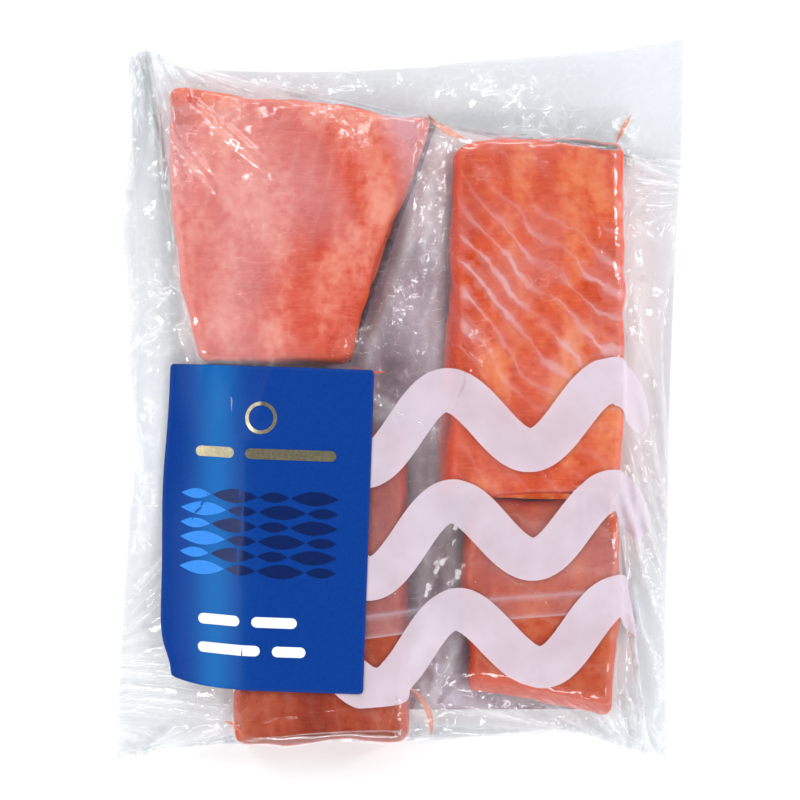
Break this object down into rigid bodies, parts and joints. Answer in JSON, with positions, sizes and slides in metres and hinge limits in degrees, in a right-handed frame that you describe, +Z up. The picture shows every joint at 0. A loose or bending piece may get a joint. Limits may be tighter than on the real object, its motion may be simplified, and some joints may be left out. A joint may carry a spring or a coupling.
{
  "type": "vacuum packed raw salmon fillet portions",
  "caption": "Clear sealed film pouch of raw coral-pink salmon fillet portions laid flat side by side, with a plain blue face label and white wave print.",
  "frame": {"origin": "middle of the pouch's flat underside", "axes": "+X to the right across the face, +Y towards the top seal, +Z up out of the face"},
  "size_m": [0.242, 0.308, 0.0272],
  "materials": {
    "clear_film": "clear glossy wrinkled film over wet coral flesh",
    "label_print": "coated blue paper with fields of paler and darker blue",
    "salmon_flesh": "wet raw salmon flesh with pale fat lines",
    "salmon_skin": "wet silver-grey fish skin",
    "white_print": "milky white ink printed on the film"
  },
  "bodies": {
    "root": {"pouch": "clear_film", "label": "label_print"}
  },
  "joints": []
}
